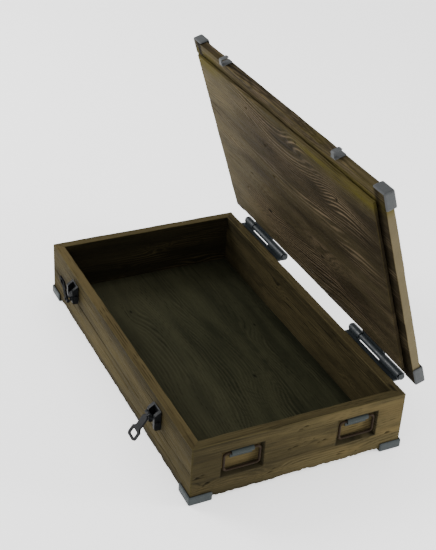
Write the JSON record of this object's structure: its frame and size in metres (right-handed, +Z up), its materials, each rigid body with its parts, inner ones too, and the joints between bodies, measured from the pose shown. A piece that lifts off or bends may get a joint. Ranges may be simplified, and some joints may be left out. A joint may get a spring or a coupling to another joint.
{
  "type": "hinged wooden case",
  "caption": "Shallow wooden case at doll scale with a hinged lid on open hinges, metal corner caps, toggle latches on the front and recessed wire handles in its ends.",
  "frame": {"origin": "centre of the bottom board's underside", "axes": "X along the case towards the end whose latch is open, -Y towards the latches, +Y towards the hinges, Z up"},
  "size_m": [0.1818, 0.1273, 0.1393],
  "materials": {
    "weathered_wood": "matt, weathered, olive-brown stain with raised grain",
    "cap_metal": "worn metallic grey paint",
    "dark_steel": "blackened, satin, scuffed to blue-grey on the barrels",
    "black_steel": "blackened, satin, lighter on worn edges",
    "bail_steel": "brown patina",
    "clip_metal": "dull light grey"
  },
  "bodies": {
    "case": {"bottom_board": "weathered_wood", "front_wall": "weathered_wood", "back_wall": "weathered_wood", "near_end_wall": "weathered_wood", "far_end_wall": "weathered_wood", "case_cap_near_front": "cap_metal", "case_cap_near_back": "cap_metal", "case_cap_far_front": "cap_metal", "case_cap_far_back": "cap_metal", "near_hinge_case_leaf": "dark_steel", "near_hinge_pin": "dark_steel", "near_latch_base": "black_steel", "near_lever_pin": "black_steel", "far_hinge_case_leaf": "dark_steel", "far_hinge_pin": "dark_steel", "far_latch_base": "black_steel", "far_lever_pin": "black_steel", "near_front_bail_clip": "clip_metal", "near_back_bail_clip": "clip_metal", "far_front_bail_clip": "clip_metal", "far_back_bail_clip": "clip_metal"},
    "lid": {"lid_board": "weathered_wood", "lid_inner_panel": "weathered_wood", "lid_cap_near_front": "cap_metal", "lid_cap_near_back": "cap_metal", "lid_cap_far_front": "cap_metal", "lid_cap_far_back": "cap_metal", "near_hinge_lid_leaf": "dark_steel", "far_hinge_lid_leaf": "dark_steel", "near_strike": "cap_metal", "far_strike": "cap_metal"},
    "near_lever": {"near_latch_lever": "black_steel", "near_link_pin": "black_steel"},
    "near_link": {"near_latch_link": "black_steel"},
    "far_lever": {"far_latch_lever": "black_steel", "far_link_pin": "black_steel"},
    "far_link": {"far_latch_link": "black_steel"},
    "near_front_handle": {"near_front_bail": "bail_steel"},
    "near_back_handle": {"near_back_bail": "bail_steel"},
    "far_front_handle": {"far_front_bail": "bail_steel"},
    "far_back_handle": {"far_back_bail": "bail_steel"}
  },
  "joints": [
    {"name": "lid_hinge", "type": "hinge", "parent": "case", "child": "lid", "pos_m": [0, 0.0572, 0.02915], "axis": [-1, 0, 0], "range_deg": [-72.5, 107.5]},
    {"name": "near_lever_turn", "type": "hinge", "parent": "case", "child": "near_lever", "pos_m": [0.054, -0.05445, 0.0198], "axis": [-1, 0, 0], "range_deg": [-107.6, 0]},
    {"name": "near_link_turn", "type": "hinge", "parent": "near_lever", "child": "near_link", "pos_m": [0.054, -0.05718, 0.02309], "axis": [-1, 0, 0], "range_deg": [0, 259.5]},
    {"name": "far_lever_turn", "type": "hinge", "parent": "case", "child": "far_lever", "pos_m": [-0.054, -0.05445, 0.0198], "axis": [-1, 0, 0], "range_deg": [-12.9, 94.7]},
    {"name": "far_link_turn", "type": "hinge", "parent": "far_lever", "child": "far_link", "pos_m": [-0.054, -0.05751, 0.01681], "axis": [-1, 0, 0], "range_deg": [-228.4, 31.1]},
    {"name": "near_front_bail_swing", "type": "hinge", "parent": "case", "child": "near_front_handle", "pos_m": [0.089, -0.0284, 0.0212], "axis": [0, -1, 0], "range_deg": [0, 95]},
    {"name": "near_back_bail_swing", "type": "hinge", "parent": "case", "child": "near_back_handle", "pos_m": [0.089, 0.0284, 0.0212], "axis": [0, -1, 0], "range_deg": [0, 95]},
    {"name": "far_front_bail_swing", "type": "hinge", "parent": "case", "child": "far_front_handle", "pos_m": [-0.089, -0.0284, 0.0212], "axis": [0, 1, 0], "range_deg": [0, 95]},
    {"name": "far_back_bail_swing", "type": "hinge", "parent": "case", "child": "far_back_handle", "pos_m": [-0.089, 0.0284, 0.0212], "axis": [0, 1, 0], "range_deg": [0, 95]}
  ],
  "couplings": [
    {"joint": "near_link_turn", "follows": "near_lever_turn", "ratio": -2.41},
    {"joint": "far_link_turn", "follows": "far_lever_turn", "ratio": -2.41}
  ]
}
